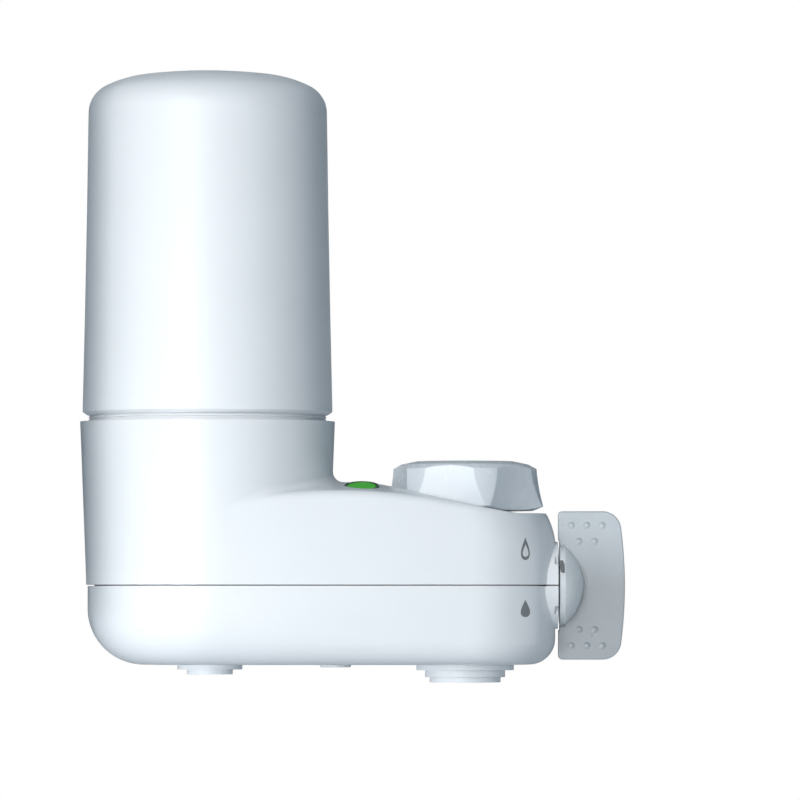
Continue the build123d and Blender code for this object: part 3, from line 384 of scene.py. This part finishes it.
def drop_point(t, width, height):
    """Outline of a drop, its point up, round from t = 0 at the tip; centred at its middle."""
    angle = 2 * math.pi * t
    half = width / 2 / drop_widest
    return half * math.sin(angle) * abs(math.sin(angle / 2)) ** 1.5, height / 2 * math.cos(angle)


def printed_drop(name, tree, box, inner=None):
    """A drop printed on the body, filled, or as an outline round an inner drop; boxes in pixels."""
    left, top, right, bottom = box
    x, z = place((left + right) / 2, (top + bottom) / 2)
    width, height = (right - left) * pixel, (bottom - top) * pixel
    if inner:
        in_left, in_top, in_right, in_bottom = inner
        in_x, in_z = place((in_left + in_right) / 2, (in_top + in_bottom) / 2)
        in_width, in_height = (in_right - in_left) * pixel, (in_bottom - in_top) * pixel
    else:
        in_x, in_z, in_width, in_height = x, z - height * 0.12, 0.0, 0.0
    around, across = 96, 5
    verts, faces = [], []
    for i in range(around):
        ox, oz = drop_point(i / around, width, height)
        ix, iz = drop_point(i / around, in_width, in_height)
        for j in range(across + 1):
            share = j / across
            px = (x + ox) * (1 - share) + (in_x + ix) * share
            pz = (z + oz) * (1 - share) + (in_z + iz) * share
            verts.append(lay_on(tree, px, pz, 0.00002))
    row = across + 1
    for i in range(around):
        after = (i + 1) % around
        for j in range(across):
            faces.append((i * row + j, i * row + j + 1, after * row + j + 1, after * row + j))
    return new_piece(name, verts, faces, drop_ink, "housing")


drop_ink = ink("grey_print", (0.22, 0.23, 0.235))
mark_ink = ink("mark_print", (0.14, 0.15, 0.155))
upper = surface_of("upper_housing")
lower = surface_of("lower_housing")
printed_drop("filtered_drop", upper, (520.8, 537.0, 529.7, 560.0), (522.6, 544.2, 528.3, 556.8))
printed_drop("stream_drop", lower, (520.6, 599.5, 529.9, 617.0))


def rim_mark():
    """The pointer's mark, printed round the selector hub's rim on the viewer's side."""
    low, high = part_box("selector_hub")
    film = 0.00003
    radius = (high.y - low.y) / 2 + film
    left = low.x
    # Millimetres: along the rim's width from its left edge, and above the seam
    outline = [(0.05, 7.2), (0.95, 7.2), (1.35, 5.6), (1.45, 3.5), (0.35, 3.6), (0.02, 5.3)]
    lowest, highest = 3.55, 7.15
    columns, rows = 6, 14
    verts, faces = [], []
    for i in range(rows + 1):
        rise = lowest + (highest - lowest) * i / rows
        spans = []
        for a, b in zip(outline, outline[1:] + outline[:1]):
            if min(a[1], b[1]) <= rise <= max(a[1], b[1]) and a[1] != b[1]:
                spans.append(a[0] + (b[0] - a[0]) * (rise - a[1]) / (b[1] - a[1]))
        start, stop = min(spans), max(spans)
        for j in range(columns + 1):
            x = left + (start + (stop - start) * j / columns) / 1000
            dz = rise / 1000
            verts.append((x, -math.sqrt(radius ** 2 - dz ** 2), seam_z + dz))
    for i in range(rows):
        for j in range(columns):
            a = i * (columns + 1) + j
            faces.append((a, a + 1, a + columns + 2, a + columns + 1))
    return new_piece("pointer_mark", verts, faces, mark_ink, "selector")


rim_mark()


def thread_ridge():
    """The collar's thread: one ridge wound down the bore at 27 turns to the inch."""
    pitch = 0.0254 / 27
    root, crest = 0.01143, 0.01112
    root_half, crest_half = pitch * 0.42, pitch * 0.07
    start_z = -0.0008
    turns, steps, fade_steps = 8, 72, 20
    verts, faces = [], []
    total = turns * steps
    for i in range(total + 1):
        angle = 2 * math.pi * i / steps
        height = start_z - pitch * i / steps
        ease = min(1.0, i / fade_steps, (total - i) / fade_steps)
        inner = root + (crest - root) * ease
        section = ((root, root_half), (inner, crest_half), (inner, -crest_half), (root, -root_half))
        for radius, drop in section:
            verts.append((radius * math.cos(angle), radius * math.sin(angle), height + drop))
    for i in range(total):
        for j in range(3):
            a = i * 4 + j
            faces.append((a, a + 1, a + 5, a + 4))
    return new_piece("thread_ridge", verts, faces, grey_white, "collar", False)


thread_ridge()

# Floor, dark boards and lamps


def floor():
    """A pale floor that takes the object's shadow and fades to white away from it."""
    mesh = bpy.data.meshes.new("floor")
    half, level = 6.0, -0.17
    mesh.from_pydata(
        [(-half, -half, level), (half, -half, level), (half, half, level), (-half, half, level)],
        [], [(0, 1, 2, 3)],
    )
    made = bpy.data.objects.new("floor", mesh)
    bpy.context.scene.collection.objects.link(made)
    mat = material("pale_floor")
    bsdf = shader(mat)
    grain = noise(mat, 6.0, 5.0, 0.5)
    link(mat, ramp(mat, grain, "Fac", [(0.3, (0.44, 0.47, 0.5)), (0.7, (0.5, 0.53, 0.56))]), "Color",
         bsdf, "Base Color")
    bsdf.inputs["Roughness"].default_value = 0.8
    bsdf.inputs["Specular IOR Level"].default_value = 0.15
    glow = add_node(mat, "ShaderNodeEmission", Color=(1, 1, 1, 1), Strength=1.0)
    seen = mat.node_tree.nodes.new("ShaderNodeLightPath")
    coords = mat.node_tree.nodes.new("ShaderNodeTexCoord")
    length = add_node(mat, "ShaderNodeVectorMath", operation="LENGTH")
    link(mat, coords, "Object", length, 0)
    away = map_range(mat, length, "Value", (0.15, 0.75), (0.55, 1.0))
    share = add_node(mat, "ShaderNodeMath", operation="MULTIPLY")
    mix = mat.node_tree.nodes.new("ShaderNodeMixShader")
    link(mat, away, "Result", share, 0)
    link(mat, seen, "Is Camera Ray", share, 1)
    link(mat, share, "Value", mix, "Fac")
    link(mat, bsdf, "BSDF", mix, 1)
    link(mat, glow, "Emission", mix, 2)
    link(mat, mix, "Shader", mat.node_tree.nodes["Material Output"], "Surface")
    mesh.materials.append(mat)


floor()


def flag(name, corners, shades=False):
    """A dark board beside the object, which only its reflections show, or only its shade."""
    mesh = bpy.data.meshes.new(name)
    mesh.from_pydata(corners, [], [(0, 1, 2, 3)])
    made = bpy.data.objects.new(name, mesh)
    bpy.context.scene.collection.objects.link(made)
    mat = material(name)
    bsdf = shader(mat)
    felt = noise(mat, 40.0)
    link(mat, ramp(mat, felt, "Fac", [(0.3, (0.03, 0.04, 0.05)), (0.7, (0.05, 0.06, 0.07))]), "Color",
         bsdf, "Base Color")
    bsdf.inputs["Roughness"].default_value = 1.0
    mesh.materials.append(mat)
    made.visible_camera = False
    made.visible_diffuse = False
    made.visible_transmission = False
    made.visible_shadow = shades
    made.visible_glossy = not shades


def upright_board(x0, y0, x1, y1, low_z, high_z):
    """Corners of an upright board over the line from (x0, y0) to (x1, y1)."""
    return [(x0, y0, low_z), (x1, y1, low_z), (x1, y1, high_z), (x0, y0, high_z)]


flag("right_flag", upright_board(0.75, -0.75, 0.75, 0.6, -0.165, 0.7))
flag("left_flag", upright_board(-0.95, -0.1, -0.95, 0.6, -0.165, 0.7))
flag("edge_flag", upright_board(-0.2, -0.06, -0.1207, -0.06, -0.07, 0.14), shades=True)
flag("back_flag", upright_board(-0.95, 0.6, 0.75, 0.6, -0.165, 0.7))


def panel(name, azimuth, elevation, distance, width, height, power, colour, aim=(-0.03, 0.0, 0.02)):
    """A soft light panel; azimuth 0 is on the camera's side and grows to the right."""
    a, e = math.radians(azimuth), math.radians(elevation)
    way = Vector((math.sin(a) * math.cos(e), -math.cos(a) * math.cos(e), math.sin(e)))
    data = bpy.data.lights.new(name, "AREA")
    data.shape = "RECTANGLE"
    data.size, data.size_y = width, height
    data.energy = power
    data.color = colour
    lamp = bpy.data.objects.new(name, data)
    bpy.context.scene.collection.objects.link(lamp)
    lamp.location = Vector(aim) + way * distance
    lamp.rotation_mode = "QUATERNION"
    lamp.rotation_quaternion = (-way).to_track_quat("-Z", "Y")
    lamp.visible_camera = False
    return lamp


# Azimuth, elevation and distance from the aim; width and height; power, colour and aim
panel("key_panel", -18.0, 7.0, 1.0, 0.42, 0.9, 8.1, (0.99, 0.99, 0.99), (-0.06, 0.0, 0.02))
panel("top_panel", -25.0, 60.0, 1.2, 1.0, 0.8, 1.7, (0.9, 0.96, 1.0), (-0.07, 0.0, 0.05))
panel("low_panel", -30.0, -30.0, 0.2, 0.12, 0.08, 0.22, (0.93, 0.97, 1.0), (-0.12, -0.02, -0.03))
panel("right_panel", 80.0, -10.0, 0.17, 0.12, 0.12, 0.045, (0.93, 0.97, 1.0), (0.03, 0.0, -0.035))
panel("back_panel", 180.0, 14.0, 1.5, 1.7, 1.2, 16.0, (0.97, 0.99, 1.0))


def world():
    """Soft blue room light, seen as plain white by the camera and in reflections."""
    made = bpy.data.worlds.new("studio")
    bpy.context.scene.world = made
    made.use_nodes = True
    room = made.node_tree.nodes["Background"]
    room.inputs["Color"].default_value = (0.55, 0.8, 1.0, 1.0)
    room.inputs["Strength"].default_value = 0.2
    white = add_node(made, "ShaderNodeBackground", Color=(1, 1, 1, 1), Strength=1.0)
    seen = made.node_tree.nodes.new("ShaderNodeLightPath")
    first = add_node(made, "ShaderNodeMath", operation="MAXIMUM")
    second = add_node(made, "ShaderNodeMath", operation="MAXIMUM")
    mix = made.node_tree.nodes.new("ShaderNodeMixShader")
    link(made, seen, "Is Camera Ray", first, 0)
    link(made, seen, "Is Glossy Ray", first, 1)
    link(made, first, 0, second, 0)
    link(made, seen, "Is Transmission Ray", second, 1)
    link(made, second, 0, mix, "Fac")
    link(made, room, "Background", mix, 1)
    link(made, white, "Background", mix, 2)
    link(made, mix, "Shader", made.node_tree.nodes["World Output"], "Surface")


world()

# Camera and view
data = bpy.data.cameras.new("camera")
camera = bpy.data.objects.new("camera", data)
bpy.context.scene.collection.objects.link(camera)
bpy.context.scene.camera = camera
camera.location = eye
towards = Vector((aim_x, 0.0, aim_z)) - eye
camera.rotation_mode = "QUATERNION"
camera.rotation_quaternion = towards.to_track_quat("-Z", "Y")
picture_px = 800
data.sensor_width = 36.0
data.lens = data.sensor_width * towards.length / (picture_px * pixel)
data.clip_start, data.clip_end = 0.1, 50.0

scene = bpy.context.scene
scene.view_settings.view_transform = "Standard"
